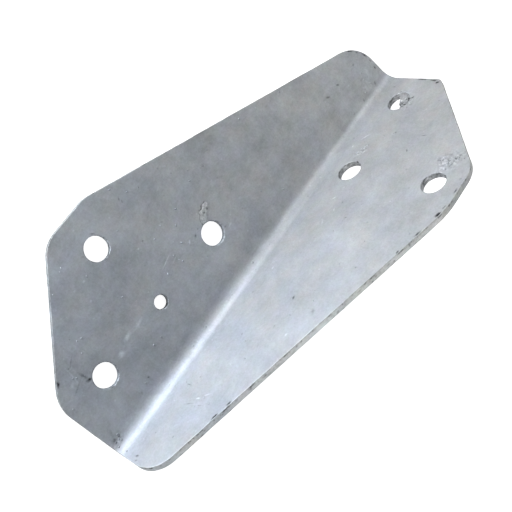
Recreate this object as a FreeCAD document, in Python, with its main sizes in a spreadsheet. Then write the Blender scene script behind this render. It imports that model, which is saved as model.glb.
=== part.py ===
"""Folded plate bracket: one punched and folded sheet, hot-dip galvanised.

The base flange lies flat, with its peak near the plate's start end. The wing leans up and away from
it along a long fold, with its peak near the other end. Both carry bolt holes, and the base has a
small locating hole too.

Frame: the locating hole stands at the origin, on the seat face, with +X along the fold, +Y away
from it across the base flange and +Z up. Lengths are in millimetres, angles in degrees.
"""
import FreeCAD, Part
import os

import Sketcher

# Driving dimensions. "Along" is measured along the fold from the plate's start end, and
# "FromEnd" back from its other end. "Out" is measured across a flange, from the line where
# the two inner faces would meet, and "Edge" back from the flange's straight far edge.
sizes = {
    "plateThickness": 4.0,
    "plateLength": 277.0,
    "insideRadius": 10.0,
    "insideAngle": 110.5,
    "baseWidth": 97.0,
    "baseStartOut": 39.5,
    "baseEndOut": 29.5,
    "basePeakStartAlong": 61.0,
    "basePeakEndAlong": 91.5,
    "baseCornerRadius": 20.0,
    "wingWidth": 97.5,
    "wingStartOut": 31.5,
    "wingEndOut": 39.5,
    "wingPeakStartFromEnd": 91.5,
    "wingPeakEndFromEnd": 62.5,
    "wingCornerRadius": 20.0,
    "wingShoulderRadius": 40.0,
    "wingEndRadius": 10.0,
    "boltHole": 14.0,
    "locatingHole": 8.0,
    "locatingHoleAlong": 76.0,
    "baseRowOut": 30.0,
    "basePairSpacing": 97.0,
    "basePeakHoleEdge": 22.0,
    "wingRowOut": 20.5,
    "wingNearHoleFromEnd": 75.5,
    "wingPairSpacing": 56.0,
    "wingPeakHoleEdge": 17.0,
}


def cell(alias):
    return "<<Sizes>>." + alias


# How far the flat of each flange starts from the line where the inner faces would meet
setback = f"{cell('insideRadius')} / tan({cell('insideAngle')} / 2)"

# The wing's peak, back from the plate's other end
wingPeakStart = f"{cell('plateLength')} - {cell('wingPeakStartFromEnd')}"
wingPeakEnd = f"{cell('plateLength')} - {cell('wingPeakEndFromEnd')}"

# A punch passes through the plate with this depth, from either face
punchDepth = f"4 * {cell('plateThickness')}"

doc = FreeCAD.newDocument("FoldedBracket")


def makeSheet():
    """One row for each driving dimension: its name, and its value under that alias."""
    sheet = doc.addObject("Spreadsheet::Sheet", "Sizes")
    for row, (alias, value) in enumerate(sizes.items(), start=1):
        sheet.set(f"A{row}", alias)
        sheet.set(f"B{row}", str(value))
        sheet.setAlias(f"B{row}", alias)
    doc.recompute()


def makeSketch(body, name, role):
    """A sketch on one of the body's origin planes, its own origin at the plate's start end."""
    sketch = body.newObject("Sketcher::SketchObject", name)
    plane = next(each for each in body.Origin.OriginFeatures if each.Role == role)
    sketch.AttachmentSupport = [(plane, "")]
    sketch.MapMode = "FlatFace"
    sketch.setExpression("AttachmentOffset.Base.x", f"-{cell('locatingHoleAlong')}")
    return sketch


def makeBaseSketch(body, name):
    """On the seat face, with its X axis on the line that the inner faces meet above."""
    sketch = makeSketch(body, name, "XY_Plane")
    sketch.setExpression("AttachmentOffset.Base.y", f"-{cell('baseRowOut')}")
    return sketch


def makeWingSketch(body, name):
    """On the wing's inner face, with its X axis on the line where the inner faces meet."""
    sketch = makeBaseSketch(body, name)
    tilt = FreeCAD.Rotation(FreeCAD.Vector(1, 0, 0), sizes["insideAngle"])
    sketch.AttachmentOffset = FreeCAD.Placement(FreeCAD.Vector(0, 0, 0), tilt)
    sketch.setExpression("AttachmentOffset.Rotation.Angle", cell("insideAngle"))
    sketch.setExpression("AttachmentOffset.Base.z", cell("plateThickness"))
    return sketch


def bind(sketch, constraint, name, expression):
    """Adds a dimension to the sketch and ties it to the sheet."""
    index = sketch.addConstraint(constraint)
    sketch.renameConstraint(index, name)
    sketch.setExpression(f"Constraints.{name}", expression)


def placePoint(sketch, geometry, end, name, along, out):
    """Dimensions a point from the sketch's origin. None puts it on that axis."""
    if along is None:
        sketch.addConstraint(Sketcher.Constraint("PointOnObject", geometry, end, -2))
    else:
        distance = Sketcher.Constraint("DistanceX", -1, 1, geometry, end, 1.0)
        bind(sketch, distance, f"{name}Along", along)
    if out is None:
        sketch.addConstraint(Sketcher.Constraint("PointOnObject", geometry, end, -1))
    else:
        distance = Sketcher.Constraint("DistanceY", -1, 1, geometry, end, 1.0)
        bind(sketch, distance, f"{name}Out", out)


def drawOutline(sketch, corners):
    """A closed outline of straight sides. Each corner is (name, rough place, along, out)."""
    count = len(corners)
    for index in range(count):
        here = FreeCAD.Vector(*corners[index][1])
        following = FreeCAD.Vector(*corners[(index + 1) % count][1])
        sketch.addGeometry(Part.LineSegment(here, following))
    for index in range(count):
        sketch.addConstraint(Sketcher.Constraint("Coincident", index, 2, (index + 1) % count, 1))
    for index, (name, _, along, out) in enumerate(corners):
        placePoint(sketch, index, 1, name, along, out)
    doc.recompute()


def drawHoles(sketch, holes):
    """Each hole is (name, rough centre, diameter, along, out)."""
    for index, (name, centre, diameter, along, out) in enumerate(holes):
        roughHole = Part.Circle(FreeCAD.Vector(*centre), FreeCAD.Vector(0, 0, 1), 5.0)
        sketch.addGeometry(roughHole)
        bind(sketch, Sketcher.Constraint("Diameter", index, 10.0), f"{name}Diameter", diameter)
        placePoint(sketch, index, 3, name, along, out)
    doc.recompute()


def padPlate(body, sketch, name):
    pad = body.newObject("PartDesign::Pad", name)
    pad.Profile = sketch
    pad.setExpression("Length", cell("plateThickness"))
    pad.Refine = True
    doc.recompute()
    return pad


def punch(body, sketch, name):
    """Cuts right through one flange, both ways from the sketch. A cut that misses is an error."""
    pocket = body.newObject("PartDesign::Pocket", name)
    pocket.Profile = sketch
    pocket.Midplane = True
    pocket.setExpression("Length", punchDepth)
    doc.recompute()
    if pocket.Shape.Volume >= pocket.BaseFeature.Shape.Volume:
        raise RuntimeError(f"{name} cut nothing")


def cornerEdges(feature, sketch, corners):
    """Names of the edges across the plate that stand at the given corners of a sketch."""
    across = sketch.Placement.Rotation.multVec(FreeCAD.Vector(0, 0, 1))
    names = []
    for along, out in corners:
        foot = sketch.Placement.multVec(FreeCAD.Vector(along, out, 0))
        for number, edge in enumerate(feature.Shape.Edges, start=1):
            ends = [vertex.Point - foot for vertex in edge.Vertexes]
            if all(end.cross(across).Length < 0.01 for end in ends):
                names.append(f"Edge{number}")
    return names


def roundCorners(body, feature, sketch, name, radius, corners):
    fillet = body.newObject("PartDesign::Fillet", name)
    fillet.Base = (feature, cornerEdges(feature, sketch, corners))
    fillet.setExpression("Radius", cell(radius))
    doc.recompute()
    return fillet


def addBaseFlange(body):
    sketch = makeBaseSketch(body, "BaseOutline")
    drawOutline(
        sketch,
        [
            ("foldStart", (0, 7), None, setback),
            ("start", (0, 40), None, cell("baseStartOut")),
            ("peakStart", (60, 97), cell("basePeakStartAlong"), cell("baseWidth")),
            ("peakEnd", (90, 97), cell("basePeakEndAlong"), cell("baseWidth")),
            ("end", (277, 30), cell("plateLength"), cell("baseEndOut")),
            ("foldEnd", (277, 7), cell("plateLength"), setback),
        ],
    )
    flange = padPlate(body, sketch, "BaseFlange")
    corners = [
        (0.0, sizes["baseStartOut"]),
        (sizes["basePeakStartAlong"], sizes["baseWidth"]),
        (sizes["basePeakEndAlong"], sizes["baseWidth"]),
        (sizes["plateLength"], sizes["baseEndOut"]),
    ]
    roundCorners(body, flange, sketch, "BaseCorners", "baseCornerRadius", corners)


def addFold(body):
    """The end section of the base flange, swept round the fold's axis."""
    sketch = makeSketch(body, "FoldSection", "XZ_Plane")
    sketch.setExpression("AttachmentOffset.Base.z", f"{cell('baseRowOut')} - {setback}")
    topFace = cell("plateThickness")
    drawOutline(
        sketch,
        [
            ("start", (0, 0), None, None),
            ("end", (277, 0), cell("plateLength"), None),
            ("endTop", (277, 4), cell("plateLength"), topFace),
            ("startTop", (0, 4), None, topFace),
        ],
    )
    axisHeight = f"{topFace} + {cell('insideRadius')}"
    axisLine = sketch.addGeometry(
        Part.LineSegment(FreeCAD.Vector(0, 14, 0), FreeCAD.Vector(277, 14, 0)), True
    )
    placePoint(sketch, axisLine, 1, "axisStart", None, axisHeight)
    placePoint(sketch, axisLine, 2, "axisEnd", cell("plateLength"), axisHeight)
    doc.recompute()
    fold = body.newObject("PartDesign::Revolution", "Fold")
    fold.Profile = sketch
    fold.ReferenceAxis = (sketch, ["Axis0"])
    fold.setExpression("Angle", f"180 - {cell('insideAngle')}")
    fold.Reversed = True
    doc.recompute()


def addWing(body):
    sketch = makeWingSketch(body, "WingOutline")
    drawOutline(
        sketch,
        [
            ("foldStart", (0, 7), None, setback),
            ("start", (0, 31), None, cell("wingStartOut")),
            ("peakStart", (185, 97), wingPeakStart, cell("wingWidth")),
            ("peakEnd", (215, 97), wingPeakEnd, cell("wingWidth")),
            ("end", (277, 40), cell("plateLength"), cell("wingEndOut")),
            ("foldEnd", (277, 7), cell("plateLength"), setback),
        ],
    )
    wing = padPlate(body, sketch, "WingFlange")
    start = (0.0, sizes["wingStartOut"])
    length = sizes["plateLength"]
    shoulder = (length - sizes["wingPeakStartFromEnd"], sizes["wingWidth"])
    peak = (length - sizes["wingPeakEndFromEnd"], sizes["wingWidth"])
    end = (length, sizes["wingEndOut"])
    wing = roundCorners(body, wing, sketch, "WingCorners", "wingCornerRadius", [start, peak])
    wing = roundCorners(body, wing, sketch, "WingShoulder", "wingShoulderRadius", [shoulder])
    roundCorners(body, wing, sketch, "WingEndCorner", "wingEndRadius", [end])


def addBaseHoles(body):
    """A pair in a row with the locating hole midway, and one bolt hole in the peak above it."""
    sketch = makeBaseSketch(body, "BaseHoleCentres")
    bolt, middle, row = cell("boltHole"), cell("locatingHoleAlong"), cell("baseRowOut")
    halfPair = f"{cell('basePairSpacing')} / 2"
    peak = f"{cell('baseWidth')} - {cell('basePeakHoleEdge')}"
    drawHoles(
        sketch,
        [
            ("locating", (76, 30), cell("locatingHole"), middle, row),
            ("near", (27, 30), bolt, f"{middle} - {halfPair}", row),
            ("far", (124, 30), bolt, f"{middle} + {halfPair}", row),
            ("peak", (76, 75), bolt, middle, peak),
        ],
    )
    punch(body, sketch, "BaseHoles")


def addWingHoles(body):
    """A pair in a row along the fold, and one hole in the peak square above its nearer one."""
    sketch = makeWingSketch(body, "WingHoleCentres")
    bolt, row = cell("boltHole"), cell("wingRowOut")
    near = f"{cell('plateLength')} - {cell('wingNearHoleFromEnd')}"
    peak = f"{cell('wingWidth')} - {cell('wingPeakHoleEdge')}"
    drawHoles(
        sketch,
        [
            ("near", (201, 20), bolt, near, row),
            ("far", (257, 20), bolt, f"{near} + {cell('wingPairSpacing')}", row),
            ("peak", (201, 80), bolt, near, peak),
        ],
    )
    punch(body, sketch, "WingHoles")


def checkModel(body):
    """Stops before anything is written if a feature failed or the solid isn't sound."""
    for each in doc.Objects:
        if "Invalid" in each.State or "Error" in each.State:
            raise RuntimeError(f"{each.Name} failed: {each.State}")
        if each.TypeId == "Sketcher::SketchObject" and not each.FullyConstrained:
            raise RuntimeError(f"{each.Name} has free dimensions")
    solid = body.Shape
    if solid.isNull() or not solid.isValid() or len(solid.Solids) != 1:
        raise RuntimeError("the bracket isn't one sound solid")


makeSheet()
bracket = doc.addObject("PartDesign::Body", "Bracket")
bracket.Label = "folded_bracket"
bracket.Placement = FreeCAD.Placement(FreeCAD.Vector(0, 0, 0), FreeCAD.Rotation())
addBaseFlange(bracket)
addFold(bracket)
addWing(bracket)
addBaseHoles(bracket)
addWingHoles(bracket)
doc.recompute()

checkModel(bracket)
os.makedirs("parts", exist_ok=True)
bracket.Shape.exportStep(f"parts/{bracket.Label}.step")
print(bracket.Label, "volume", round(bracket.Shape.Volume, 1), bracket.Shape.BoundBox)
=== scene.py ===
import math

import bmesh
import bpy
import numpy as np
from mathutils import Matrix, Vector, noise
from mathutils.geometry import delaunay_2d_cdt
from mathutils.kdtree import KDTree


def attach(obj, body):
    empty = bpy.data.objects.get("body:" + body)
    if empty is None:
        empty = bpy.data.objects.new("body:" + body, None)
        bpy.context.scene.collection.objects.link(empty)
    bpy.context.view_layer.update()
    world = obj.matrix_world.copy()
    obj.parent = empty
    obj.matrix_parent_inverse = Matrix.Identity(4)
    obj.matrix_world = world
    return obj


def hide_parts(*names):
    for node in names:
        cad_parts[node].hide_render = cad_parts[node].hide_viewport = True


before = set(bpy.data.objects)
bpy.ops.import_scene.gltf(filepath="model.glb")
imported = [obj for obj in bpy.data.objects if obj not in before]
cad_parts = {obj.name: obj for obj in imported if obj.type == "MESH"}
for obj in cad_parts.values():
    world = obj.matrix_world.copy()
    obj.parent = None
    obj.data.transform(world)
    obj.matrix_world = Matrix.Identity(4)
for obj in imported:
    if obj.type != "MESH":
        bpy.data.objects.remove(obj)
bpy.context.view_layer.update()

# Sizes and places on the plate are in millimetres. "Along" runs down the fold from the start
# end, "out" crosses a flange from the line where the two inner faces would meet, and "depth"
# goes from the inner face to the back.
metre = 0.001
plate = dict(
    thickness=4.0,
    insideRadius=10.0,
    insideAngle=110.5,
    startToHole=76.0,  # the small hole stands at the origin
    foldToHole=30.0,
    faceStep=1.05,  # spacing of the mesh over the inner faces, the backs, the edges and the bores
    backStep=2.2,
    edgeStep=1.0,
    boreStep=0.8,
    frontRound=0.45,  # how far the zinc rounds a cut edge
    backRound=0.4,
    roundRows=4,
    edgeRows=(0.3, 0.45, 0.6, 0.75),  # rows down a cut edge, as shares of the thickness
    innerRing=0.35,  # and one ring of points this far inside the rounding
)
corners = [  # flange, along, out, radius
    ("wing", 0.0, 31.5, 20.0),
    ("wing", 185.5, 97.5, 40.0),
    ("wing", 214.5, 97.5, 20.0),
    ("wing", 277.0, 39.5, 5.5),
    ("base", 277.0, 29.5, 20.0),
    ("base", 91.5, 97.0, 20.0),
    ("base", 61.0, 97.0, 20.0),
    ("base", 0.0, 39.5, 20.0),
]
holes = dict(  # flange, along, out, radius
    baseNear=("base", 27.5, 30.0, 7.0),
    baseFar=("base", 124.5, 30.0, 7.0),
    basePeak=("base", 76.0, 75.0, 7.0),
    locating=("base", 76.0, 30.0, 4.0),
    wingNear=("wing", 201.5, 20.5, 7.0),
    wingFar=("wing", 257.5, 20.5, 7.0),
    wingPeak=("wing", 201.5, 80.5, 7.0),
)
marks = [  # flange, along, out, half length, half width, turn, rise, stain
    ("wing", 276.2, 26.5, 4.6, 0.6, 90, -0.08, -1.5),
    ("wing", 275.6, 35.5, 2.9, 0.7, 84, -0.10, -1.3),
    ("wing", 273.9, 38.7, 1.3, 0.9, 60, -0.14, -1.5),
    ("base", 104.0, 82.4, 1.3, 0.45, 50, -0.06, -0.5),
    ("base", 104.2, 80.4, 1.3, 0.4, 70, -0.06, -0.5),
    ("base", 80.4, 81.9, 1.6, 0.5, -48, -0.10, -0.9),
    ("base", 95.1, 58.6, 0.7, 0.6, 0, -0.10, -0.7),
    ("base", 90.3, 57.8, 0.8, 0.6, 0, 0.06, 0.5),
    ("base", 116.5, 37.0, 1.3, 0.7, 30, -0.12, -0.7),
    ("base", 111.6, 37.6, 1.4, 0.6, 40, 0.05, 0.6),
    ("base", 132.2, 26.7, 0.8, 0.6, 0, -0.10, -0.8),
    ("base", 134.9, 25.2, 1.8, 0.6, 10, 0.04, 0.5),
    ("base", 94.0, 41.3, 5.0, 0.35, 14, -0.03, 0.7),
    ("base", 99.0, 38.6, 4.0, 0.4, 14, 0.0, 0.35),
    ("base", 58.5, 69.6, 1.0, 0.8, 0, 0.06, 0.5),
    ("base", 52.9, 60.5, 0.8, 0.6, 0, 0.05, 0.45),
    ("base", 51.5, 70.4, 0.8, 0.5, 0, 0.04, 0.3),
    ("base", 59.6, 32.8, 3.8, 1.0, 10, 0.02, 0.5),
    ("base", 50.2, 33.4, 3.2, 1.4, 8, 0.03, 0.8),
    ("base", 41.2, 30.2, 2.4, 1.9, 0, 0.03, 0.75),
    ("base", 20.7, 35.6, 1.7, 1.1, -20, -0.15, -1.3),
    ("base", 20.4, 39.6, 3.2, 1.0, 95, -0.04, -0.7),
    ("base", 17.0, 44.0, 6.0, 0.5, 80, 0.02, 0.35),
    ("base", 22.0, 49.0, 4.0, 0.4, 30, -0.02, -0.35),
    ("base", 14.0, 38.0, 5.0, 0.5, 20, -0.02, -0.35),
    ("base", 9.4, 47.0, 1.9, 0.9, 48, -0.30, -1.4),
    ("base", 20.2, 17.9, 0.7, 0.6, 0, 0.05, 0.5),
    ("base", 3.7, 4.6, 2.4, 1.6, 30, -0.05, -0.7),
    ("base", 5.6, 8.4, 2.6, 1.0, 60, -0.03, -0.4),
    ("base", 40.4, 10.6, 0.9, 0.7, 0, -0.08, -0.6),
    ("base", 32.0, 8.6, 1.4, 0.4, 40, -0.04, -0.5),
    ("base", 120.5, 38.6, 0.7, 0.6, 0, -0.06, -0.5),
    ("base", 246.9, 23.6, 1.4, 0.7, -40, -0.10, -0.8),
    ("base", 235.9, 24.0, 1.6, 0.8, -35, -0.08, -0.7),
    ("base", 264.4, 23.4, 0.9, 0.5, 30, -0.07, -0.6),
    ("base", 252.3, 4.0, 1.6, 0.6, 70, -0.10, -0.7),
    ("base", 266.5, 5.0, 1.5, 0.6, 60, -0.08, -0.6),
    ("base", 268.0, 14.0, 4.0, 1.6, 70, 0.02, 0.25),
    ("base", 269.0, 30.6, 2.4, 0.6, -46, -0.07, -1.3),
    ("base", 272.2, 26.4, 1.2, 0.5, -66, -0.06, -0.8),
    ("base", 274.8, 21.6, 2.6, 0.5, -75, -0.06, -1.1),
    ("base", 275.3, 16.4, 1.2, 0.5, 90, -0.06, -0.7),
    ("base", 274.2, 11.2, 1.2, 0.5, 80, -0.06, -1.0),
    ("base", 151.0, 47.0, 5.0, 0.8, -30, 0.0, -0.22),
    ("wing", 4.1, 14.2, 1.5, 0.7, 60, -0.12, -0.9),
    ("wing", 1.9, 15.8, 0.9, 0.5, 60, -0.08, -0.7),
    ("wing", 48.9, 15.2, 2.1, 0.3, 85, -0.05, -0.8),
    ("wing", 40.0, 24.0, 3.5, 0.35, 65, -0.03, -0.5),
    ("wing", 41.6, 31.0, 1.8, 0.3, 70, -0.03, -0.5),
    ("wing", 44.6, 27.2, 1.5, 0.6, 60, 0.05, 0.8),
    ("wing", 48.5, 31.5, 2.5, 0.35, 50, 0.04, 0.7),
    ("wing", 114.6, 42.8, 1.3, 0.8, -25, -0.14, -1.1),
    ("wing", 110.8, 60.2, 2.2, 1.4, -20, -0.04, -0.5),
    ("wing", 85.5, 26.1, 0.7, 0.6, 0, -0.08, -0.6),
    ("wing", 96.2, 43.1, 0.9, 0.6, 0, -0.08, -0.5),
    ("wing", 93.8, 53.8, 1.2, 0.7, 30, 0.05, 0.6),
    ("wing", 220.9, 50.2, 1.3, 0.6, -30, -0.10, -0.8),
    ("wing", 232.9, 54.6, 2.0, 0.5, 75, -0.06, -0.6),
    ("wing", 233.2, 34.1, 0.9, 0.7, 0, -0.08, -0.6),
    ("wing", 169.7, 40.5, 1.5, 0.5, 60, -0.06, -0.5),
    ("wing", 180.9, 23.3, 1.6, 0.4, 40, 0.05, 0.7),
    ("wing", 173.1, 29.0, 1.3, 0.5, -20, 0.05, 0.7),
    ("wing", 163.6, 27.0, 2.4, 0.6, -30, 0.03, 0.4),
    ("wing", 128.1, 15.3, 1.3, 0.6, 0, 0.04, 0.6),
    ("wing", 228.1, 15.0, 4.5, 0.8, 38, 0.05, 0.45),
    ("wing", 219.5, 10.3, 0.8, 0.7, 0, 0.08, 0.7),
    ("wing", 220.0, 19.4, 0.8, 0.7, 0, 0.08, 0.7),
    ("wing", 40.2, 44.9, 2.2, 0.8, 20, -0.14, -1.6),
    ("wing", 49.4, 48.0, 1.8, 0.7, 20, -0.10, -1.4),
    ("wing", 182.2, 95.0, 2.0, 1.2, 15, -0.22, -2.1),
    ("wing", 187.4, 95.8, 1.6, 0.6, 15, -0.10, -1.0),
    ("wing", 198.6, 96.2, 2.0, 0.6, 0, -0.12, -1.0),
    ("wing", 155.8, 86.2, 1.1, 0.9, 0, -0.16, -1.8),
    ("wing", 168.6, 90.7, 2.4, 0.9, 18, -0.12, -1.3),
    ("wing", 260.3, 27.4, 1.3, 0.7, 40, -0.12, -1.2),
    ("wing", 261.2, 28.8, 1.3, 0.6, 20, -0.12, -1.3),
    ("wing", 262.4, 24.6, 0.8, 0.6, 0, -0.10, -0.9),
]
patches = [  # rough zinc: flange, along, out, half length, half width, turn, rise, stain
    ("wing", 219.5, 81.5, 9.5, 5.0, 70, 0.18, -0.15),
    ("wing", 213.6, 81.5, 6.5, 4.2, 60, 0.20, 0.0),
    ("wing", 216.2, 19.2, 5.5, 3.2, 40, 0.22, 0.15),
    ("wing", 262.5, 19.0, 6.0, 4.5, 60, 0.12, 0.10),
    ("wing", 255.5, 29.0, 5.0, 2.8, 0, 0.16, -0.15),
    ("wing", 42.0, 27.0, 9.0, 4.0, 60, 0.03, 0.10),
    ("base", 108.0, 39.5, 10.0, 4.0, 5, 0.03, 0.08),
    ("base", 28.0, 50.0, 9.0, 5.0, 80, 0.03, 0.08),
    ("base", 262.0, 10.0, 9.0, 5.0, 60, 0.05, 0.05),
    ("base", 5.6, 3.5, 5.5, 3.0, 30, 0.12, -0.30),
    ("base", 16.0, 43.0, 8.0, 6.0, 60, 0.05, 0.0),
]
zincRun = dict(
    flange="base",
    path=[(133.8, 43.3), (130.1, 41.9), (127.2, 39.4), (125.8, 37.2)],
    halfWidth=[1.9, 2.4, 2.1, 1.5],
    ragged=(0.45, 0.2),  # how far coarse and fine noise push its side, in half widths
    rise=0.42,
    lumps=(0.7, 0.5),  # coarse and fine, as shares of the rise
    stain=0.24,
    stainGrain=2.5,
    shaded=(-0.63, 0.77),  # the side with the painted shade line
    line=(1.05, 0.24),  # where the painted shade line runs and how wide, in half widths
    lineShade=1.1,
    hollows=[(132.7, 41.4, 0.7), (129.7, 41.4, 0.8), (128.3, 40.1, 0.5)],  # along, out, radius
    hollowEdge=1.3,
    hollowDepth=0.30,
    hollowDarkening=0.8,
)
coat = dict(  # the zinc over the plate; each noise has its size and seed
    longWave=(34, 0),
    shortWave=(13, 5),
    ripple=(5, 9),
    ragged=(1.1, 3),
    grain=(0.85, 7),
    coarse=(1.9, 8),
    waviness=0.055,
    shortShare=0.45,  # of the waviness
    rippleShare=0.16,
    raggedEdges=0.28,  # of marks and patches
    plainDross=0.01,
    markEdge=1.25,
    markSlope=1.4,
    patchEdge=1.1,
    patchSlope=1.8,
    patchHeight=(0.4, 1.1, 1.3),  # shares of a patch's rise: even, with the grain, with the coarse
    patchTone=(0.6, 0.6, 0.8),  # the same for how light it is
    fullRise=0.25,  # from this rise on a patch is full of dross
    pitSize=(1.6, 1.6, 1.1),  # of the stains down a cut edge
    pitsFrom=0.30,
    pitStain=2.2,
    boreStain=1.6,
)
wander = dict(  # how a cut edge wanders across the plate
    most=0.13,
    boreShare=0.8,
    fade=3.0,  # how far from the edge it dies out
    long=(11, 9),  # the size of the waves along the edge and down it
    short=(2.2, 2.5),
    shortShare=0.4,
)
fineMesh = dict(  # closer points where the surface has small features
    markSteps=(0.22, 0.45),  # the smallest and the largest
    markShare=0.45,  # of a mark's half width
    markReach=(1.5, 2.0),  # over its half length and its half width
    patchStep=0.5,
    patchReach=1.1,
    runStep=0.33,
    runMargin=1.4,
    apart=0.7,  # how clear of the others a point keeps, as a share of the spacing
    plainApart=0.62,
)
turn = math.pi - math.radians(plate["insideAngle"])
setback = plate["insideRadius"] / math.tan(math.radians(plate["insideAngle"]) / 2)
halfFold = (plate["insideRadius"] + plate["thickness"] / 2) * turn / 2  # flat, at mid thickness


def blankPoint(flange, along, out):
    # the unfolded blank: along, and across from the middle of the fold
    across = halfFold + out - setback
    return along, across if flange == "base" else -across


def foldUp(flat, depth):
    # points of the blank, at a depth under the inner face, on the folded plate
    along, across = flat[:, 0], flat[:, 1]
    angle = np.clip((halfFold - across) / (2 * halfFold), 0, 1) * turn
    reach = plate["insideRadius"] + depth
    beyond = np.maximum(-halfFold - across, 0)
    y = np.maximum(across - halfFold, 0) - reach * np.sin(angle) - beyond * math.cos(turn)
    z = beyond * math.sin(turn) - reach * np.cos(angle)
    centreY = setback - plate["foldToHole"]
    centreZ = plate["thickness"] + plate["insideRadius"]
    return np.column_stack([along - plate["startToHole"], y + centreY, z + centreZ])


def outlineLoop(points, radii, step):
    # points down the outline with its rounded corners, and the outward direction at each
    spots, outward, arcs = [], [], []
    count = len(points)
    for i, here in enumerate(points):
        toBefore = (points[i - 1] - here).normalized()
        toAfter = (points[(i + 1) % count] - here).normalized()
        half = toBefore.angle(toAfter) / 2
        reach = radii[i] / math.tan(half)
        centre = here + (toBefore + toAfter).normalized() * radii[i] / math.sin(half)
        arcs.append((here + toBefore * reach, here + toAfter * reach, centre))
    for i, (start, end, centre) in enumerate(arcs):
        first = start - centre
        sweep = first.angle_signed(end - centre)
        pieces = max(3, round(abs(sweep) * radii[i] / step))
        for k in range(pieces):
            angle = math.atan2(first.y, first.x) - sweep * k / pieces
            direction = Vector((math.cos(angle), math.sin(angle)))
            spots.append(centre + direction * radii[i])
            outward.append(direction)
        side = arcs[(i + 1) % count][0] - end
        pieces = round(side.length / step)
        normal = Vector((side.y, -side.x)).normalized()
        for k in range(pieces):
            spots.append(end + side * k / pieces)
            outward.append(normal)
    return np.array(spots), np.array(outward)


def holeLoop(centre, radius, step):
    # the same round a hole, where outward points into the hole
    count = round(2 * math.pi * radius / step)
    angles = -2 * math.pi * np.arange(count) / count
    ring = np.column_stack([np.cos(angles), np.sin(angles)])
    return np.array(centre) + ring * radius, -ring


def insideLoop(points, loop):
    ax, ay = loop[:, 0], loop[:, 1]
    bx, by = np.roll(ax, -1), np.roll(ay, -1)
    slope = (bx - ax) / (by - ay + 1e-12)
    inside = []
    for start in range(0, len(points), 4000):
        x = points[start:start + 4000, :1]
        y = points[start:start + 4000, 1:]
        crosses = ((ay > y) != (by > y)) & (x < slope * (y - ay) + ax)
        inside.append(crosses.sum(1) % 2 == 1)
    return np.concatenate(inside)


def hexGrid(low, high, step):
    rows = []
    for row, y in enumerate(np.arange(low[1], high[1], step * math.sqrt(0.75))):
        x = np.arange(low[0] + (row % 2) * step / 2, high[0], step)
        rows.append(np.column_stack([x, np.full(len(x), y)]))
    return np.vstack(rows)


def standClear(points, fresh, clear):
    # the points with those fresh ones that keep clear of them
    tree = KDTree(len(points))
    for i, (x, y) in enumerate(points):
        tree.insert((x, y, 0), i)
    tree.balance()
    keep = [tree.find((x, y, 0))[2] > clear for x, y in fresh]
    return np.vstack([points, fresh[keep]])


def fineAreas():
    # where the surface has small features, as ellipses on the blank with their spacing
    areas = []
    smallest, largest = fineMesh["markSteps"]
    longer, wider = fineMesh["markReach"]
    for *middle, length, width, angle, _, _ in marks:
        step = max(smallest, min(largest, width * fineMesh["markShare"]))
        areas.append((*middle, length * longer, width * wider, angle, step))
    reach = fineMesh["patchReach"]
    for *middle, length, width, angle, _, _ in patches:
        areas.append((*middle, length * reach, width * reach, angle, fineMesh["patchStep"]))
    for (along, out), width in zip(zincRun["path"], zincRun["halfWidth"]):
        reach = width + fineMesh["runMargin"]
        areas.append((zincRun["flange"], along, out, reach, reach, 0, fineMesh["runStep"]))
    areas.sort(key=lambda area: area[-1])
    return areas


def ellipseOffset(spots, flange, along, out, length, width, angle):
    # how far each spot of the blank lies from the centre of an ellipse, 1 at its edge
    centre = blankPoint(flange, along, out)
    side = 1 if flange == "base" else -1
    c, s = math.cos(math.radians(angle)), math.sin(math.radians(angle)) * side
    dx, dy = spots[:, 0] - centre[0], spots[:, 1] - centre[1]
    return np.hypot((dx * c + dy * s) / length, (dy * c - dx * s) / width)


def facePoints(loops, rings, step, fine):
    # the points of one face: its edge loops first, then what fills it
    points = np.vstack([spots for spots, _ in loops])
    points = np.vstack([points] + rings)
    outline = loops[0][0]
    box = (outline.min(0), outline.max(0))
    grids = []
    if fine:
        for flange, along, out, length, width, angle, fineStep in fineAreas():
            centre = np.array(blankPoint(flange, along, out))
            reach = max(length, width)
            grid = hexGrid(centre - reach, centre + reach, fineStep)
            near = ellipseOffset(grid, flange, along, out, length, width, angle) < 1
            grids.append((grid[near], fineStep * fineMesh["apart"]))
    grids.append((hexGrid(*box, step), step * fineMesh["plainApart"]))
    for grid, clear in grids:
        if not len(grid):
            continue
        grid = grid[insideLoop(grid, outline)]
        for spots, _ in loops[1:]:
            grid = grid[~insideLoop(grid, spots)] if len(grid) else grid
        if len(grid):
            points = standClear(points, grid, clear)
    return points


def fillFace(loops, points):
    # triangles over a face; those between the points of one loop fill a hole or lie outside,
    # apart from the few that follow the loop's own direction
    edges, owner, first = [], np.full(len(points), -1), 0
    for which, (spots, _) in enumerate(loops):
        count = len(spots)
        edges += [(first + k, first + (k + 1) % count) for k in range(count)]
        owner[first:first + count] = which
        first += count
    result = delaunay_2d_cdt([Vector(p) for p in points], edges, [], 0, 1e-6, False)
    if len(result[0]) != len(points):
        raise RuntimeError("the triangulation changed the face's points")
    faces = np.array(result[2])
    a, b, c = owner[faces].T
    spare = (a == b) & (b == c) & (a >= 0)
    onward = set(edges)
    for row in np.flatnonzero(spare):
        i, j, k = faces[row].tolist()
        spare[row] = not onward & {(i, j), (j, k), (k, i)}
    return faces[~spare]


def noiseAt(spots, size, shift=0.0):
    return np.array([noise.noise(Vector((x / size, y / size, shift))) for x, y in spots])


def slowWave(spots):
    wave, short = noiseAt(spots, *coat["longWave"]), noiseAt(spots, *coat["shortWave"])
    return coat["waviness"] * (wave + coat["shortShare"] * short)


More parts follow.
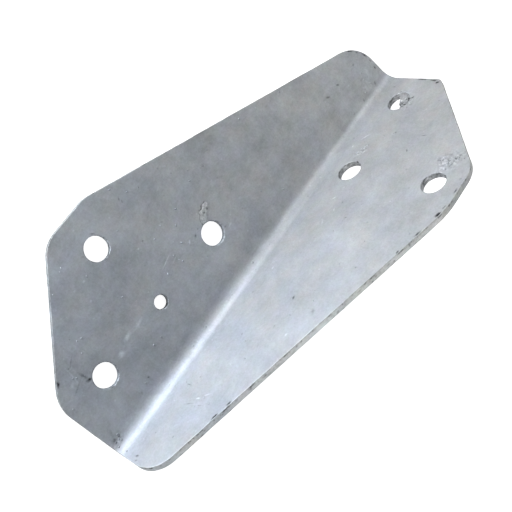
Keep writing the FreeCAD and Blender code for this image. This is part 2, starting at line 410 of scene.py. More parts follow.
def frontShape(spots):
    # how far the inner face rises at each spot of the blank, how light or dark it is, and how
    # much dross lies on it
    rise = slowWave(spots) + coat["rippleShare"] * coat["waviness"] * noiseAt(spots, *coat["ripple"])
    stain = np.zeros(len(spots))
    dross = np.full(len(spots), coat["plainDross"])
    wobble = coat["raggedEdges"] * noiseAt(spots, *coat["ragged"])
    grain, coarse = noiseAt(spots, *coat["grain"]), noiseAt(spots, *coat["coarse"])
    for *place, height, tone in marks:
        offset = ellipseOffset(spots, *place) + wobble
        weight = np.clip(coat["markEdge"] - offset, 0, 1) ** coat["markSlope"]
        rise += height * weight
        stain += tone * weight
    level, fine, broad = coat["patchHeight"]
    lumps = level + fine * grain + broad * coarse
    even, fine, broad = coat["patchTone"]
    blotches = fine * grain + broad * coarse
    for *place, height, tone in patches:
        offset = ellipseOffset(spots, *place) + wobble
        weight = np.clip((coat["patchEdge"] - offset) * coat["patchSlope"], 0, 1)
        share = height / coat["fullRise"]
        rise += height * weight * lumps
        stain += weight * (tone * even + min(1, share) * blotches)
        dross = np.maximum(dross, weight * share)
    runRise, runStainAndShade = runShape(spots, wobble, grain, coarse)
    return rise + runRise, stain + runStainAndShade, dross


def runShape(spots, wobble, grain, coarse):
    # the zinc run: a lumpy body, a line of painted shade down its shaded side, and small hollows
    run, lean = runOffset(spots)
    broad, fine = zincRun["ragged"]
    run += broad * coarse + fine * grain
    body = np.clip(1 - (run + 0.12 * wobble) ** 2, 0, 1)
    broad, fine = zincRun["lumps"]
    rise = zincRun["rise"] * np.sqrt(body) * (1 + broad * coarse + fine * grain)
    middle, width = zincRun["line"]
    line = np.clip(1 - np.abs(run - middle) / width, 0, 1) * np.clip(0.3 + 0.9 * lean, 0, 1)
    stain = zincRun["stain"] * np.clip(body * 3, 0, 1) * (1 + zincRun["stainGrain"] * grain)
    # painted shade: the dark line down the run's shaded side
    stain -= zincRun["lineShade"] * line * (1 + 1.2 * coarse)
    for along, out, radius in zincRun["hollows"]:
        offset = ellipseOffset(spots, zincRun["flange"], along, out, radius, radius, 0)
        weight = np.clip(zincRun["hollowEdge"] - offset, 0, 1)
        # each hollow is sunk and also made darker in colour
        rise -= zincRun["hollowDepth"] * weight
        stain -= zincRun["hollowDarkening"] * weight
    return rise, stain


def runOffset(spots):
    # distance from the zinc run's path, 1 at its side, and how far it leans to the shaded side
    best = np.full(len(spots), 99.0)
    lean = np.zeros(len(spots))
    path = [np.array(blankPoint(zincRun["flange"], *p)) for p in zincRun["path"]]
    for k in range(len(path) - 1):
        line = path[k + 1] - path[k]
        t = np.clip((spots - path[k]) @ line / (line @ line), 0, 1)
        width = zincRun["halfWidth"][k] * (1 - t) + zincRun["halfWidth"][k + 1] * t
        away = (spots - (path[k] + t[:, None] * line)) / width[:, None]
        gap = np.linalg.norm(away, axis=1)
        lean = np.where(gap < best, away @ zincRun["shaded"], lean)
        best = np.minimum(best, gap)
    return best, lean


def edgeShift(loops, spots, depth):
    # how far each spot moves across the plate with the nearest cut edge
    def waves(point, size, down):
        return noise.noise(Vector((point[0] / size, point[1] / size, depth / down)))

    allSpots = np.vstack([s for s, _ in loops])
    outward = np.vstack([o for _, o in loops])
    shares = [1.0] + [wander["boreShare"]] * (len(loops) - 1)
    share = np.concatenate([np.full(len(s), each) for each, (s, _) in zip(shares, loops)])
    tree = KDTree(len(allSpots))
    for i, (x, y) in enumerate(allSpots):
        tree.insert((x, y, 0), i)
    tree.balance()
    shift = np.zeros((len(spots), 2))
    for k, (x, y) in enumerate(spots):
        _, i, gap = tree.find((x, y, 0))
        fade = max(0.0, 1 - gap / wander["fade"]) ** 2
        if fade:
            amount = waves(allSpots[i], *wander["long"])
            amount += wander["shortShare"] * waves(allSpots[i], *wander["short"])
            shift[k] = outward[i] * (amount * wander["most"] * share[i] * fade)
    return shift


def newPiece(name, blank, depth, faces, **values):
    # a piece folded up from the blank, with named values at its points for the materials
    mesh = bpy.data.meshes.new(name)
    mesh.from_pydata((foldUp(blank, depth) * metre).tolist(), [], faces)
    mesh.polygons.foreach_set("use_smooth", [True] * len(mesh.polygons))
    for label, each in values.items():
        mesh.attributes.new(label, "FLOAT", "POINT").data.foreach_set("value", each)
    mesh.update()
    piece = bpy.data.objects.new(name, mesh)
    bpy.context.scene.collection.objects.link(piece)
    return piece


def buildPlate():
    outline = [Vector(blankPoint(*corner[:3])) for corner in corners]
    loops = [outlineLoop(outline, [corner[3] for corner in corners], plate["edgeStep"])]
    for flange, along, out, radius in holes.values():
        loops.append(holeLoop(blankPoint(flange, along, out), radius, plate["boreStep"]))
    sizes = [len(spots) for spots, _ in loops]
    total = sum(sizes)

    def inset(amount):
        return [(spots - outward * amount, outward) for spots, outward in loops]

    def stacked(amount):
        return np.vstack([spots for spots, _ in inset(amount)])

    flat, deep, faces, rows = [], [], [], []
    first = 0
    for amount, step, depth, fine in (
        (plate["frontRound"], plate["faceStep"], 0.0, True),
        (plate["backRound"], plate["backStep"], plate["thickness"], False),
    ):
        edge = inset(amount)
        points = facePoints(edge, [stacked(amount + plate["innerRing"])], step, fine)
        triangles = fillFace(edge, points)
        triangles = triangles if depth == 0 else triangles[:, ::-1]
        faces += [tuple(int(i) + first for i in t) for t in triangles]
        rows.append(np.arange(total) + first)
        flat.append(points)
        deep.append(np.full(len(points), depth))
        first += len(points)
    thickness = plate["thickness"]
    count = plate["roundRows"]
    turns = [math.radians(90 * (k + 1) / count) for k in range(count)]
    front, back = plate["frontRound"], plate["backRound"]
    levels = [(front * (1 - math.sin(a)), front * (1 - math.cos(a))) for a in turns]
    levels += [(0.0, thickness * share) for share in plate["edgeRows"]]
    levels += [(back * (1 - math.sin(a)), thickness - back * (1 - math.cos(a))) for a in reversed(turns)]
    order = [rows[0]]
    for amount, depth in levels:
        flat.append(stacked(amount))
        deep.append(np.full(total, depth))
        order.append(np.arange(total) + first)
        first += total
    order.append(rows[1])
    for upper, lower in zip(order, order[1:]):
        start = 0
        for size in sizes:
            for k in range(size):
                a, b = start + k, start + (k + 1) % size
                faces.append((int(upper[b]), int(upper[a]), int(lower[a]), int(lower[b])))
            start += size
    edgeFaces = (len(order) - 1) * total
    for k, depth in enumerate(deep):
        flat[k] = flat[k] + edgeShift(loops, flat[k], float(depth[0]))
    rise, stain, dross = frontShape(flat[0])
    deep[0] = -rise
    deep[1] = deep[1] - np.maximum(slowWave(flat[1]), 0)
    blank = np.vstack(flat)
    depth = np.concatenate(deep)
    rims = slice(len(flat[0]) + len(flat[1]), len(blank))
    depth[rims] -= slowWave(blank[rims])
    spots = np.column_stack([blank[rims], depth[rims]]) / coat["pitSize"]
    pits = np.array([noise.noise(Vector(spot)) for spot in spots])
    inBore = np.tile(np.arange(total) >= sizes[0], len(levels))
    dark = np.clip(pits - coat["pitsFrom"], 0, 0.4)
    pits = np.where(inBore, coat["boreStain"] * pits, -coat["pitStain"] * dark)
    stain = np.concatenate([stain, np.zeros(len(flat[1])), pits])
    dross = np.concatenate([dross, np.zeros(len(blank) - len(dross))])
    piece = newPiece("folded_plate", blank, depth, faces, stain=stain, dross=dross)
    ring = [1] * sizes[0] + [2] * (total - sizes[0])
    edges = [0] * (len(faces) - edgeFaces) + ring * (len(order) - 1)
    piece.data.polygons.foreach_set("material_index", edges)
    place = piece.data.attributes.new("blank", "FLOAT_VECTOR", "POINT")
    place.data.foreach_set("vector", (np.column_stack([blank, depth]) * metre).ravel())
    piece.data.validate()
    return piece


bracket = buildPlate()
print("plate", len(bracket.data.polygons), "faces")


web = dict(  # zinc left across one side of the outermost wing hole
    hole="wingFar",
    middle=58.0,  # the way it faces from the hole's centre, in degrees from along
    spread=88.0,  # how far it goes round the rim to each side of that
    overlap=0.12,
    freeEdge=0.1,  # how far past the centre its free edge runs
    bays=(4.1, 2.0, 1.1),  # how often its free edge bends in, their seed and their reach
    bulge=0.25,
    step=0.42,
    thickness=0.7,
    flush=0.15,  # its depth where it meets the face, and where it has sunk
    sunk=0.9,
    sinks=(20.0, 80.0),  # from and to angle
    crack=(46.0, 106.0, 0.65, 1.4),  # from and to angle, width and depth of the gap by the rim
    crackEnds=8.0,
    crackInset=0.5,
    lumps=(1.7, 4),  # size and seed
    lumpDepth=0.34,
    grain=(0.9, 6),
    grainDepth=0.30,
    darkSide=(80.0, 110.0),
    stain=-0.15,
    crackShade=-1.3,
    darkening=-0.35,
    grainStain=-1.1,
    lipDarkening=-0.3,
)


def buildWeb():
    flange, along, out, radius = holes[web["hole"]]
    centre = np.array(blankPoint(flange, along, out))
    side = 1 if flange == "base" else -1
    middle = math.radians(web["middle"])
    ring = radius + web["overlap"]
    count = round(math.pi * ring / web["step"])
    angles = middle + math.radians(web["spread"]) * np.linspace(1, -1, count)
    arc = np.column_stack([np.cos(angles), np.sin(angles)]) * ring
    count = round(2 * ring / web["step"])
    share = np.linspace(0, 1, count + 1)[1:-1]
    free = arc[-1] + share[:, None] * (arc[0] - arc[-1])
    way = np.array([math.cos(middle), math.sin(middle)])
    often, seed, reach = web["bays"]
    bays = np.array([noise.noise(Vector((k * often, seed, 0))) for k in share])
    free += way * (web["freeEdge"] + reach * bays)[:, None]
    loop = np.vstack([arc, free]) * (1, side) + centre
    bulge = np.array([0.0] * len(arc) + [web["bulge"]] * len(free))
    if side > 0:
        loop, bulge = loop[::-1], bulge[::-1]
    points = facePoints([(loop, None)], [], web["step"], False)
    triangles = fillFace([(loop, None)], points)
    spots = (points - centre) * (1, side)
    gap = np.hypot(*spots.T)
    angle = np.degrees(np.arctan2(spots[:, 1], spots[:, 0]))
    first, last = web["sinks"]
    lean = np.clip((angle - first) / (last - first), 0, 1)
    depth = web["flush"] + (web["sunk"] - web["flush"]) * lean
    first, last, width, deep = web["crack"]
    ends = web["crackEnds"]
    inCrack = np.clip((angle - first) / ends, 0, 1) * np.clip((last - angle) / ends, 0, 1)
    inCrack *= np.clip(1 - np.abs(gap - ring + web["crackInset"] + width / 2) / width, 0, 1)
    depth += deep * inCrack
    uneven = 0.3 + 0.7 * lean
    rough = noiseAt(points, *web["grain"]) * uneven
    depth += web["lumpDepth"] * noiseAt(points, *web["lumps"]) * uneven + web["grainDepth"] * rough
    first, last = web["darkSide"]
    dark = np.clip((angle - first) / (last - first), 0, 1)
    # painted shade in the gap by the rim, on top of the gap's depth
    stain = web["crackShade"] * inCrack + web["darkening"] * dark
    stain += web["grainStain"] * rough + web["stain"]
    count = len(points)
    edge = len(loop)
    lip = loop - way * (1, side) * bulge[:, None]
    blank = np.vstack([points, points, lip])
    deepAll = np.concatenate([depth, depth + web["thickness"], depth[:edge] + web["thickness"] / 2])
    faces = [tuple(int(i) for i in t) for t in triangles]
    faces += [tuple(int(i) + count for i in t[::-1]) for t in triangles]
    for k in range(edge):
        n = (k + 1) % edge
        faces.append((k, n, 2 * count + n, 2 * count + k))
        faces.append((2 * count + k, 2 * count + n, count + n, count + k))
    # the free edge's lip is made darker
    stain = np.concatenate([stain, stain, stain[:edge] + web["lipDarkening"]])
    piece = newPiece("zinc_web", blank, deepAll, faces, stain=stain)
    outward = bmesh.new()
    outward.from_mesh(piece.data)
    bmesh.ops.recalc_face_normals(outward, faces=outward.faces)
    outward.to_mesh(piece.data)
    outward.free()
    return piece


zincWeb = buildWeb()
print("zinc web", len(zincWeb.data.polygons), "faces")


# Materials
clouds = dict(  # patterns of noise: scale, detail, roughness, shift, stretch, distortion
    patches=(26, 8, 0.86, 0.3, (1, 1, 1), 0.2),
    broad=(13, 3, 0.5, 8.4, (1, 1, 1), 0.6),
    drawn=(95, 5, 0.75, 1.7, (0.22, 1, 1), 0.0),
    fine=(900, 2, 0.6, 4.1, (1, 1, 1), 0.0),
    hue=(48, 5, 0.72, 7.7, (1, 1, 1), 0.15),
    green=(110, 6, 0.8, 6.1, (1, 1, 1), 0.15),
    dulling=(60, 5, 0.7, 3.1, (1, 1, 1), 0.4),
    speckEdge=(1500, 2, 0.6, 0.9, (1, 1, 1), 0.0),
    ragged=(1100, 3, 0.6, 5.5, (1, 1, 1), 0.0),
    relief=(420, 6, 0.75, 8.8, (1, 1, 1), 0.0),
    stretched=(800, 3, 0.6, 1.3, (1, 0.1, 1), 0.0),
    dashes=(200, 4, 0.7, 2.9, (1, 1, 0.3), 0.0),
)
zinc = dict(
    tints=[  # where on the hue pattern, colour
        (0.33, (0.468, 0.497, 0.552)),
        (0.45, (0.478, 0.500, 0.540)),
        (0.55, (0.488, 0.506, 0.530)),
        (0.67, (0.506, 0.505, 0.518)),
    ],
    purple=(1.012, 0.984, 1.010, 1),
    green=(0.988, 1.016, 0.990, 1),
    coldEnd=(0.957, 0.977, 1.005, 1),  # how the colour drifts from the start end to the far end
    warmEnd=(1.035, 1.013, 0.982, 1),
    contrast=1.25,
    patchesOnWing=0.82,  # how strong each pattern is
    patchesMoreOnBase=0.35,
    broadOnBase=0.32,
    drawn=0.14,
    fine=0.25,
    lightSpecks=0.16,
    darkSpecks=-0.22,
    wisps=0.07,
    scores=-0.07,
    stainDepth=0.65,
    darkest=0.12,
    metallic=0.68,
    roughness=(0.54, 0.62),
    stainRoughness=0.15,
    speckHeight=1.5,
    bump=0.25,
    bumpHeight=0.0001,
)
bend = dict(  # metres on the blank
    baseFrom=(-0.008, 0.008),  # where the wing's patches give way to the base's
    half=(0.011, 0.004),  # where its marks begin and where they are full, from its middle
    polishGrows=(0.02, 0.12),
    polish=0.09,  # how much smoother it is at the far end
)
rim = dict(  # broken dark lines in a cut edge, partly painted shade under its rounded borders and partly dark marks; depths in metres
    near=(0.0001, 0.0005, 0.0008, 0.0014),
    far=(0.0033, 0.0038),
    farStrength=0.6,
    fades=(0.25, 0.21),  # along the plate
    broken=(0.50, 0.62),
    baseFrom=(-0.006, 0.006),
)


def put(tree, kind, inputs, family="ShaderNode", **settings):
    node = tree.nodes.new(family + kind)
    for name, value in settings.items():
        setattr(node, name, value)
    for name, value in inputs.items():
        if isinstance(value, bpy.types.NodeSocket):
            tree.links.new(value, node.inputs[name])
        else:
            node.inputs[name].default_value = value
    return node


def calc(tree, operation, *values):
    return put(tree, "Math", dict(enumerate(values)), operation=operation).outputs[0]


def ease(tree, value, start, end):
    # 0 at start, 1 at end
    inputs = {"Value": value, "From Min": start, "From Max": end}
    return put(tree, "MapRange", inputs, interpolation_type="SMOOTHSTEP").outputs[0]


def blend(tree, factor, first, second, kind="MIX"):
    node = put(tree, "Mix", {0: factor, 6: first, 7: second}, data_type="RGBA", blend_type=kind)
    return node.outputs[2]


def cloud(tree, place, name):
    scale, detail, rough, shift, stretch, distortion = clouds[name]
    moved = put(tree, "Mapping", {"Vector": place, "Location": (shift, shift, 0), "Scale": stretch})
    inputs = {
        "Vector": moved.outputs[0],
        "Scale": scale,
        "Detail": detail,
        "Roughness": rough,
        "Distortion": distortion,
    }
    return put(tree, "TexNoise", inputs).outputs[0]


def newGroup(name, inputs, outputs, kind="ShaderNodeTree"):
    # inputs as name: (socket type, value), outputs as name: socket type
    tree = bpy.data.node_groups.new(name, kind)
    for label, (kind, value) in inputs.items():
        socket = tree.interface.new_socket(label, in_out="INPUT", socket_type="NodeSocket" + kind)
        if value is not None:
            socket.default_value = value
    for label, kind in outputs.items():
        tree.interface.new_socket(label, in_out="OUTPUT", socket_type="NodeSocket" + kind)
    return tree, tree.nodes.new("NodeGroupInput").outputs, tree.nodes.new("NodeGroupOutput").inputs


def mottleGroup():
    # the dull cloudy look of a hot zinc coat
    tree, given, made = newGroup(
        "zincMottle",
        {"Place": ("Vector", None), "Contrast": ("Float", 1.0)},
        {"Tone": "Float", "Hue": "Float", "Green": "Float", "Dulling": "Float"},
    )
    place = given["Place"]
    across = put(tree, "SeparateXYZ", {"Vector": place}).outputs[1]
    onBase = ease(tree, across, *bend["baseFrom"])

    def around(name):
        return calc(tree, "SUBTRACT", cloud(tree, place, name), 0.5)

    strength = calc(tree, "MULTIPLY_ADD", onBase, zinc["patchesMoreOnBase"], zinc["patchesOnWing"])
    tone = calc(tree, "MULTIPLY", around("patches"), strength)
    broad = calc(tree, "MULTIPLY", around("broad"), onBase)
    tone = calc(tree, "MULTIPLY_ADD", broad, zinc["broadOnBase"], tone)
    tone = calc(tree, "MULTIPLY_ADD", around("drawn"), zinc["drawn"], tone)
    tone = calc(tree, "MULTIPLY_ADD", around("fine"), zinc["fine"], tone)
    tree.links.new(calc(tree, "MULTIPLY_ADD", tone, given["Contrast"], 1.0), made["Tone"])
    for name in ("Hue", "Green", "Dulling"):
        tree.links.new(cloud(tree, place, name.lower()), made[name])
    return tree


def specksGroup():
    # scattered round spots, of which only a share is kept
    inputs = {
        "Place": ("Vector", None),
        "Spacing": ("Float", 0.005),
        "Size": ("Float", 0.12),
        "Share": ("Float", 0.5),
    }
    tree, given, made = newGroup("scatteredSpecks", inputs, {"Mask": "Float"})
    rough = cloud(tree, given["Place"], "speckEdge")
    scale = calc(tree, "DIVIDE", 1.0, given["Spacing"])
    cells = put(tree, "TexVoronoi", {"Vector": given["Place"], "Scale": scale})
    edge = calc(tree, "MULTIPLY_ADD", calc(tree, "SUBTRACT", rough, 0.5), 0.16, cells.outputs["Distance"])
    inner = calc(tree, "MULTIPLY", given["Size"], 0.45)
    spot = ease(tree, edge, given["Size"], inner)
    pick = put(tree, "SeparateColor", {"Color": cells.outputs["Color"]}).outputs[0]
    kept = calc(tree, "LESS_THAN", pick, given["Share"])
    tree.links.new(calc(tree, "MULTIPLY", spot, kept), made["Mask"])
    return tree


def wispsGroup():
    # thin curved lines that come and go
    inputs = {
        "Place": ("Vector", None),
        "Scale": ("Float", 60.0),
        "Width": ("Float", 0.01),
        "Share": ("Float", 0.55),
    }
    tree, given, made = newGroup("thinWisps", inputs, {"Mask": "Float"})
    place, scale, share = given["Place"], given["Scale"], given["Share"]
    moved = put(tree, "Mapping", {"Vector": place, "Location": (2.2, 0.4, 0), "Scale": (0.6, 1, 1)})
    inputs = {"Vector": moved.outputs[0], "Scale": scale, "Detail": 3.0, "Distortion": 1.2}
    field = put(tree, "TexNoise", inputs).outputs[0]
    gap = calc(tree, "ABSOLUTE", calc(tree, "SUBTRACT", field, 0.5))
    line = ease(tree, gap, given["Width"], 0.0)
    inputs = {"Vector": place, "Scale": calc(tree, "MULTIPLY", scale, 1.4), "Detail": 4.0}
    presence = put(tree, "TexNoise", inputs).outputs[0]
    shown = ease(tree, presence, share, calc(tree, "ADD", share, 0.08))
    tree.links.new(calc(tree, "MULTIPLY", line, shown), made["Mask"])
    return tree


def tintGroup():
    # cold and warm greys, a little green or purple, and a drift down the plate
    inputs = {
        "Place": ("Vector", None),
        "Hue": ("Float", 0.5),
        "Green": ("Float", 0.5),
        "Shade": ("Color", (1, 1, 1, 1)),
    }
    tree, given, made = newGroup("zincTint", inputs, {"Colour": "Color"})
    ramp = put(tree, "ValToRGB", {"Fac": given["Hue"]})
    stops = ramp.color_ramp.elements
    for k, (spot, colour) in enumerate(zinc["tints"]):
        stop = stops[k] if k < 2 else stops.new(spot)
        stop.position = spot
        stop.color = (*colour, 1)
    cast = blend(tree, ease(tree, given["Green"], 0.36, 0.64), zinc["purple"], zinc["green"])
    along = put(tree, "SeparateXYZ", {"Vector": given["Place"]}).outputs[0]
    drift = blend(tree, ease(tree, along, 0.0, 0.25), zinc["coldEnd"], zinc["warmEnd"])
    colour = ramp.outputs["Color"]
    for layer in (cast, drift, given["Shade"]):
        colour = blend(tree, 1.0, colour, layer, "MULTIPLY")
    tree.links.new(colour, made["Colour"])
    return tree


def surfaceGroup():
    # what all the zinc finishes share; Extra is added to how light the surface is
    inputs = {
        "Place": ("Vector", None),
        "Stain And Shade": ("Float", 0.0),
        "Extra": ("Float", 0.0),
        "Contrast": ("Float", 1.0),
        "Light Specks": ("Float", 0.2),
        "Dark Specks": ("Float", 0.2),
        "Shade": ("Color", (1, 1, 1, 1)),
    }
    outputs = {"Colour": "Color", "Roughness": "Float", "Height": "Float"}
    tree, given, made = newGroup("zincSurface", inputs, outputs)
    place = given["Place"]
    inputs = {"Place": place, "Contrast": given["Contrast"]}
    mottle = put(tree, "Group", inputs, node_tree=groups["mottle"]).outputs
    tone = mottle["Tone"]
    masks = {}
    for strength, name, values in (
        ("lightSpecks", "specks", {"Spacing": 0.0042, "Size": 0.16, "Share": given["Light Specks"]}),
        ("darkSpecks", "specks", {"Spacing": 0.0061, "Size": 0.13, "Share": given["Dark Specks"]}),
        ("wisps", "wisps", {"Scale": 52.0, "Width": 0.011, "Share": 0.56}),
        ("scores", "wisps", {"Scale": 83.0, "Width": 0.007, "Share": 0.60}),
    ):
        node = put(tree, "Group", {"Place": place, **values}, node_tree=groups[name])
        masks[strength] = node.outputs["Mask"]
        tone = calc(tree, "MULTIPLY_ADD", masks[strength], zinc[strength], tone)
    # the stain attribute holds real stains and marks together with painted shade: the zinc run's dark
    # line and the web's crack
    ragged = calc(tree, "MULTIPLY_ADD", cloud(tree, place, "ragged"), 1.6, 0.2)
    stain = calc(tree, "MULTIPLY", given["Stain And Shade"], ragged)
    tone = calc(tree, "MULTIPLY_ADD", stain, zinc["stainDepth"], tone)
    tone = calc(tree, "MAXIMUM", calc(tree, "ADD", tone, given["Extra"]), zinc["darkest"])
    hues = {"Place": place, "Hue": mottle["Hue"], "Green": mottle["Green"], "Shade": given["Shade"]}
    tint = put(tree, "Group", hues, node_tree=groups["tint"])
    colour = put(tree, "VectorMath", {0: tint.outputs["Colour"]}, operation="SCALE")
    tree.links.new(tone, colour.inputs["Scale"])
    tree.links.new(colour.outputs[0], made["Colour"])
    smooth, dull = zinc["roughness"]
    dulling = {
        "Value": mottle["Dulling"],
        "From Min": 0.35,
        "From Max": 0.65,
        "To Min": smooth,
        "To Max": dull,
    }
    rough = put(tree, "MapRange", dulling).outputs[0]
    darkening = calc(tree, "MAXIMUM", calc(tree, "MULTIPLY", stain, -1.0), 0.0)
    rough = calc(tree, "MULTIPLY_ADD", darkening, zinc["stainRoughness"], rough)
    tree.links.new(rough, made["Roughness"])
    height, bead = cloud(tree, place, "relief"), zinc["speckHeight"]
    height = calc(tree, "MULTIPLY_ADD", masks["lightSpecks"], bead, height)
    height = calc(tree, "MULTIPLY_ADD", masks["darkSpecks"], -bead, height)
    tree.links.new(height, made["Height"])
    return tree


def foldGroup():
    # stretch marks over the bend, and a polish that grows towards the far end
    outputs = {"Polish": "Float", "Height": "Float"}
    tree, given, made = newGroup("foldMarks", {"Place": ("Vector", None)}, outputs)
    along, across, _ = put(tree, "SeparateXYZ", {"Vector": given["Place"]}).outputs
    mask = ease(tree, calc(tree, "ABSOLUTE", across), *bend["half"])
    growing = ease(tree, along, *bend["polishGrows"])
    tree.links.new(calc(tree, "MULTIPLY", mask, growing), made["Polish"])
    drawn = cloud(tree, given["Place"], "stretched")
    tree.links.new(calc(tree, "MULTIPLY", drawn, mask), made["Height"])
    return tree


def rimShadeGroup():
    # broken dark lines just inside both borders of a cut edge: partly painted shade where the edge rounds
    # into the faces, partly dark marks
    outputs = {"Shade Dashes": "Float", "Base": "Float"}
    tree, given, made = newGroup("rimShadeDashes", {"Place": ("Vector", None)}, outputs)
    along, across, depth = put(tree, "SeparateXYZ", {"Vector": given["Place"]}).outputs
    dashes = ease(tree, cloud(tree, given["Place"], "dashes"), *rim["broken"])
    start, full, waning, end = rim["near"]
    near = calc(tree, "MULTIPLY", ease(tree, depth, start, full), ease(tree, depth, end, waning))
    far = calc(tree, "MULTIPLY", ease(tree, depth, *rim["far"]), rim["farStrength"])
    shown = ease(tree, along, *rim["fades"])
    lines = calc(tree, "MULTIPLY", calc(tree, "ADD", near, far), shown)
    tree.links.new(calc(tree, "MULTIPLY", lines, dashes), made["Shade Dashes"])
    tree.links.new(ease(tree, across, *rim["baseFrom"]), made["Base"])
    return tree


groups = dict(mottle=mottleGroup(), specks=specksGroup(), wisps=wispsGroup(), tint=tintGroup())
groups.update(surface=surfaceGroup(), fold=foldGroup(), rim=rimShadeGroup())
finishes = dict(  # light and dark are the shares of the specks that are kept
    galvanisedSteel=dict(
        attribute="blank", shade=(1.0, 1.0, 1.0), contrast=1.0, light=0.22, dark=0.14,
        foldMarks=1.5, rimShadeLine=0.0, baseDarker=0.0,
    ),
    cutEdge=dict(
        attribute="blank", shade=(1.24, 1.23, 1.18), contrast=1.5, light=0.05, dark=0.35,
        foldMarks=0.0, rimShadeLine=0.60, baseDarker=0.26,
    ),
    holeBore=dict(
        attribute="blank", shade=(0.76, 0.77, 0.77), contrast=3.0, light=0.15, dark=0.40,
        foldMarks=0.0, rimShadeLine=0.22, baseDarker=0.0,
    ),
    zincDross=dict(
        attribute="", shade=(0.92, 0.92, 0.92), contrast=2.2, light=0.10, dark=0.20,
        foldMarks=0.0, rimShadeLine=0.0, baseDarker=0.0,
    ),
)


def zincMaterial(name):
    finish = finishes[name]
    material = bpy.data.materials.new(name)
    material.use_nodes = True
    tree = material.node_tree
    shader = tree.nodes["Principled BSDF"]
    if finish["attribute"]:
        place = put(tree, "Attribute", {}, attribute_name=finish["attribute"]).outputs["Vector"]
    else:
        place = put(tree, "TexCoord", {}).outputs["Object"]
    inputs = {
        "Place": place,
        "Stain And Shade": put(tree, "Attribute", {}, attribute_name="stain").outputs["Fac"],
        "Contrast": zinc["contrast"] * finish["contrast"],
        "Light Specks": finish["light"],
        "Dark Specks": finish["dark"],
        "Shade": (*finish["shade"], 1),
    }
    surface = put(tree, "Group", inputs, node_tree=groups["surface"])
    rough, height = surface.outputs["Roughness"], surface.outputs["Height"]
    if finish["rimShadeLine"]:
        edge = put(tree, "Group", {"Place": place}, node_tree=groups["rim"]).outputs
        # painted shade in broken lines along the borders of a cut edge, partly dark marks
        extra = calc(tree, "MULTIPLY", edge["Shade Dashes"], -finish["rimShadeLine"])
        extra = calc(tree, "MULTIPLY_ADD", edge["Base"], -finish["baseDarker"], extra)
        tree.links.new(extra, surface.inputs["Extra"])
    if finish["foldMarks"]:
        fold = put(tree, "Group", {"Place": place}, node_tree=groups["fold"]).outputs
        height = calc(tree, "MULTIPLY_ADD", fold["Height"], finish["foldMarks"], height)
        rough = calc(tree, "MULTIPLY_ADD", fold["Polish"], -bend["polish"], rough)
    tree.links.new(surface.outputs["Colour"], shader.inputs["Base Color"])
    tree.links.new(rough, shader.inputs["Roughness"])
    shader.inputs["Metallic"].default_value = zinc["metallic"]
    bump = put(tree, "Bump", {"Height": height, "Strength": zinc["bump"], "Distance": zinc["bumpHeight"]})
    tree.links.new(bump.outputs[0], shader.inputs["Normal"])
    return material


for name in ("galvanisedSteel", "cutEdge", "holeBore"):
    bracket.data.materials.append(zincMaterial(name))
zincDross = zincMaterial("zincDross")
zincWeb.data.materials.append(zincDross)

pimples = dict(
    density=0.35,  # on a square millimetre of pure dross
    smallest=0.22,
    largest=0.65,
    flatness=0.45,
    segments=8,
    rings=5,
    seed=11,
)


def pimpleTree():
    # small beads of dross over the zinc, more where the dross attribute says
    inputs = {"Geometry": ("Geometry", None)}
    for name in ("Density", "Smallest", "Largest", "Flatness"):
        inputs[name] = ("Float", None)
    inputs.update({"Seed": ("Int", None), "Finish": ("Material", None)})
    outputs = {"Geometry": "Geometry"}
    tree, given, made = newGroup("drossPimples", inputs, outputs, "GeometryNodeTree")

    def step(kind, inputs):
        return put(tree, kind, inputs, "GeometryNode").outputs

    amount = step("InputNamedAttribute", {"Name": "dross"})["Attribute"]
    density = calc(tree, "MULTIPLY", amount, given["Density"])
    inputs = {"Mesh": given["Geometry"], "Density": density, "Seed": given["Seed"]}
    scattered = step("DistributePointsOnFaces", inputs)
    inputs = {"Segments": pimples["segments"], "Rings": pimples["rings"], "Radius": metre}
    bead = step("MeshUVSphere", inputs)["Mesh"]
    inputs = {2: given["Smallest"], 3: given["Largest"], "Seed": given["Seed"]}
    size = put(tree, "RandomValue", inputs, "FunctionNode", data_type="FLOAT").outputs[1]
    flat = calc(tree, "MULTIPLY", size, given["Flatness"])
    inputs = {
        "Points": scattered["Points"],
        "Rotation": scattered["Rotation"],
        "Instance": bead,
        "Scale": put(tree, "CombineXYZ", {0: size, 1: size, 2: flat}).outputs[0],
    }
    placed = step("InstanceOnPoints", inputs)[0]
    smooth = step("SetShadeSmooth", {"Geometry": placed})[0]
    real = step("RealizeInstances", {"Geometry": smooth})[0]
    finished = step("SetMaterial", {"Geometry": real, "Material": given["Finish"]})[0]
    tree.links.new(finished, made["Geometry"])
    return tree


def scatterPimples():
    host = bpy.data.objects.new("zinc_pimples", bracket.data.copy())
    bpy.context.scene.collection.objects.link(host)
    modifier = host.modifiers.new("pimples", "NODES")
    modifier.node_group = pimpleTree()
    values = dict(
        Density=pimples["density"] / metre ** 2,
        Smallest=pimples["smallest"],
        Largest=pimples["largest"],
        Flatness=pimples["flatness"],
        Seed=pimples["seed"],
        Finish=zincDross,
    )
    for socket in modifier.node_group.interface.items_tree:
        if socket.in_out == "INPUT" and socket.name in values:
            modifier[socket.identifier] = values[socket.name]
    evaluated = host.evaluated_get(bpy.context.evaluated_depsgraph_get())
    mesh = bpy.data.meshes.new_from_object(evaluated)
    host.modifiers.clear()
    host.data = mesh
    mesh.name = "zinc_pimples"
    return host


zincPimples = scatterPimples()
print("pimples", len(zincPimples.data.polygons), "faces")


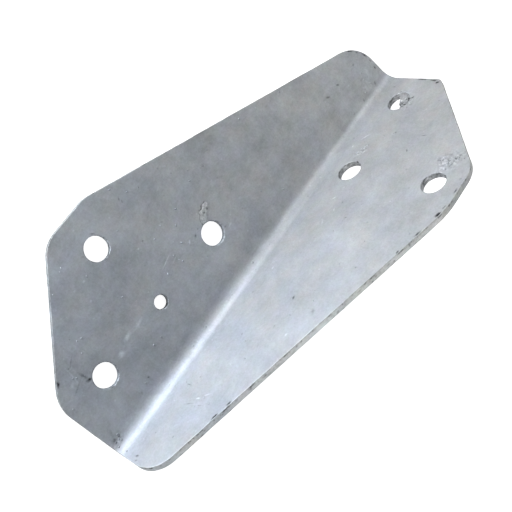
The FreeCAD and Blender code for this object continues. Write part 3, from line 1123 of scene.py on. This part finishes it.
# Floor, light and camera
studio = dict(
    floorSize=6.0,
    floorHeight=-0.0003,  # just under the plate, so that the two faces never share a plane
    floorColour=0.86,
    floorRoughness=0.9,
    glossyGlow=0.11,  # what the floor adds to itself in reflections
    cameraGlow=0.85,  # and for the camera
    worldColour=(0.96, 0.98, 1.0),
    worldStrength=0.285,
    lampsAim=(0.06, 0, 0.03),
)
lamps = dict(  # azimuth from +X, elevation, distance, width, height, power, colour
    key=(107, 9, 0.645, 0.53, 0.22, 4.65, (0.93, 0.965, 1.0)),
    side=(54, 38, 1.5, 0.45, 0.4, 2.8, (0.96, 1.0, 1.0)),
    far=(332, 42, 1.5, 0.9, 0.9, 2.9, (0.96, 1.0, 0.98)),
    rim=(258, 23, 1.5, 0.9, 0.6, 5.4, (1.0, 1.0, 0.97)),
    end=(184, 14, 1.5, 0.9, 0.6, 2.2, (1.0, 1.0, 1.0)),
)
view = dict(
    place=(-0.08495, 0.11491, 0.42673),
    target=(0.05527, -0.02819, 0.004),
    roll=84.443,
    lens=57.8,
)


def addFloor():
    bpy.ops.mesh.primitive_plane_add(size=studio["floorSize"], location=(0, 0, studio["floorHeight"]))
    floor = bpy.context.object
    floor.name = "floor"
    material = bpy.data.materials.new("paleFloor")
    material.use_nodes = True
    tree = material.node_tree
    shader = tree.nodes["Principled BSDF"]
    grey = studio["floorColour"]
    shader.inputs["Base Color"].default_value = (grey, grey, grey, 1)
    shader.inputs["Roughness"].default_value = studio["floorRoughness"]
    shader.inputs["Specular IOR Level"].default_value = 0.0
    path = put(tree, "LightPath", {}).outputs
    glow = calc(tree, "MULTIPLY", path["Is Camera Ray"], studio["cameraGlow"])
    glow = calc(tree, "MULTIPLY_ADD", path["Is Glossy Ray"], studio["glossyGlow"], glow)
    shader.inputs["Emission Color"].default_value = (1, 1, 1, 1)
    tree.links.new(glow, shader.inputs["Emission Strength"])
    floor.data.materials.append(material)
    return floor


def addWorld():
    world = bpy.data.worlds.new("studio")
    world.use_nodes = True
    tree = world.node_tree
    background = tree.nodes["Background"]
    background.inputs["Color"].default_value = (*studio["worldColour"], 1)
    background.inputs["Strength"].default_value = studio["worldStrength"]
    white = put(tree, "Background", {"Color": (1, 1, 1, 1), "Strength": 1.0})
    seen = put(tree, "LightPath", {}).outputs["Is Camera Ray"]
    mix = put(tree, "MixShader", {0: seen, 1: background.outputs[0], 2: white.outputs[0]})
    tree.links.new(mix.outputs[0], tree.nodes["World Output"].inputs["Surface"])
    bpy.context.scene.world = world


def addLamps():
    aim = Vector(studio["lampsAim"])
    for name, (azimuth, elevation, distance, width, height, power, colour) in lamps.items():
        light = bpy.data.lights.new(name + "Lamp", "AREA")
        light.energy = power
        light.shape = "RECTANGLE"
        light.size = width
        light.size_y = height
        light.color = colour
        lamp = bpy.data.objects.new(name + "Lamp", light)
        around, up = math.radians(azimuth), math.radians(elevation)
        way = Vector((math.cos(up) * math.cos(around), math.cos(up) * math.sin(around), math.sin(up)))
        lamp.location = aim + way * distance
        lamp.rotation_euler = (-way).to_track_quat("-Z", "Y").to_euler()
        bpy.context.scene.collection.objects.link(lamp)


def addCamera():
    camera = bpy.data.objects.new("camera", bpy.data.cameras.new("camera"))
    camera.data.lens = view["lens"]
    camera.data.sensor_width = 36
    camera.data.clip_start = 0.01
    place = Vector(view["place"])
    look = (Vector(view["target"]) - place).to_track_quat("-Z", "Y").to_matrix()
    camera.location = place
    camera.rotation_euler = (look @ Matrix.Rotation(math.radians(view["roll"]), 3, "Z")).to_euler()
    bpy.context.scene.collection.objects.link(camera)
    bpy.context.scene.camera = camera


floor = addFloor()
addWorld()
addLamps()
addCamera()
bpy.context.scene.view_settings.view_transform = "Standard"

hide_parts("folded_bracket")
for piece in (bracket, zincWeb, zincPimples):
    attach(piece, "root")
